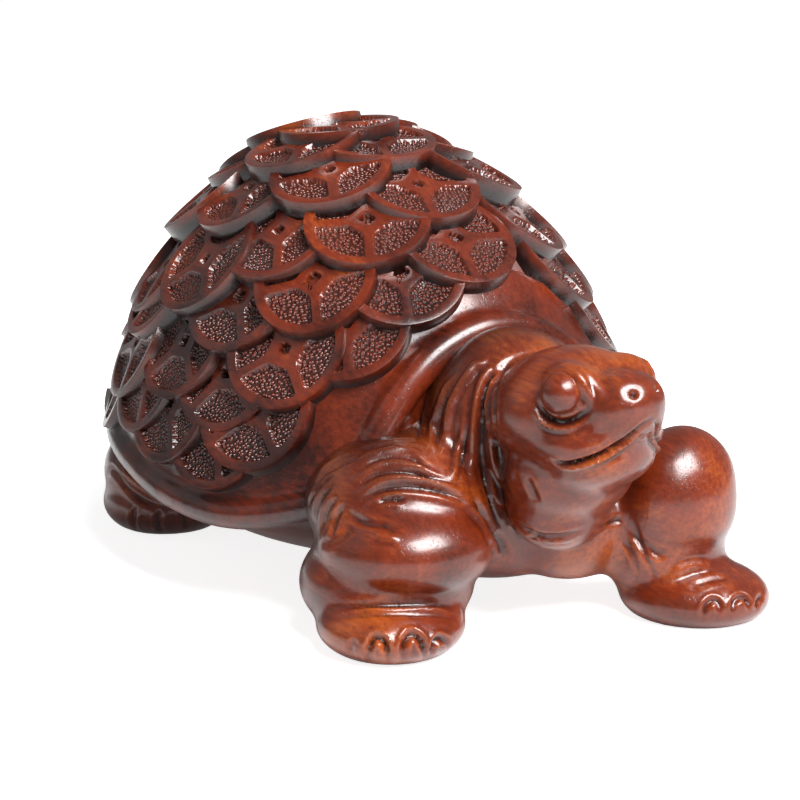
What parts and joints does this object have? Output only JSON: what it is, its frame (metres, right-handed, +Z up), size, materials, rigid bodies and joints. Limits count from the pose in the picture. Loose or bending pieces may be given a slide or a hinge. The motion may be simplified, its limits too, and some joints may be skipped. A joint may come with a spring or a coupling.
{
  "type": "carved turtle figurine",
  "caption": "Walking turtle carved from reddish hardwood, with a tall shell of overlapping old round coins, a smooth rim and four flat feet.",
  "frame": {"origin": "on the ground under the middle of the turtle's bounding box", "axes": "-Y is the way the turtle walks, +X is its left, +Z is up"},
  "size_m": [0.0672, 0.0994, 0.0583],
  "materials": {
    "shell": "polished dark red-brown hardwood, clear lacquer",
    "coins": "carved hardwood with stippled pits, clear lacquer",
    "skin": "polished red-brown hardwood, clear lacquer",
    "eyes": "polished hardwood, clear lacquer"
  },
  "bodies": {
    "root": {"carapace_dome": "shell", "scale_row_0": "coins", "scale_row_1": "coins", "scale_row_2": "coins", "scale_row_3": "coins", "scale_row_4": "coins", "scale_row_5": "coins", "scale_row_6": "coins", "scale_row_7": "coins", "scale_row_8": "coins", "shell_rim": "shell", "neck_hood": "shell", "belly": "skin", "neck": "skin", "chest": "skin", "head": "skin", "lower_jaw": "skin", "tail": "skin", "front_right_leg": "skin", "front_right_foot": "skin", "front_left_leg": "skin", "front_left_foot": "skin", "rear_right_leg": "skin", "rear_right_foot": "skin", "rear_left_leg": "skin", "rear_left_foot": "skin", "right_eye": "eyes", "left_eye": "eyes"}
  },
  "joints": []
}
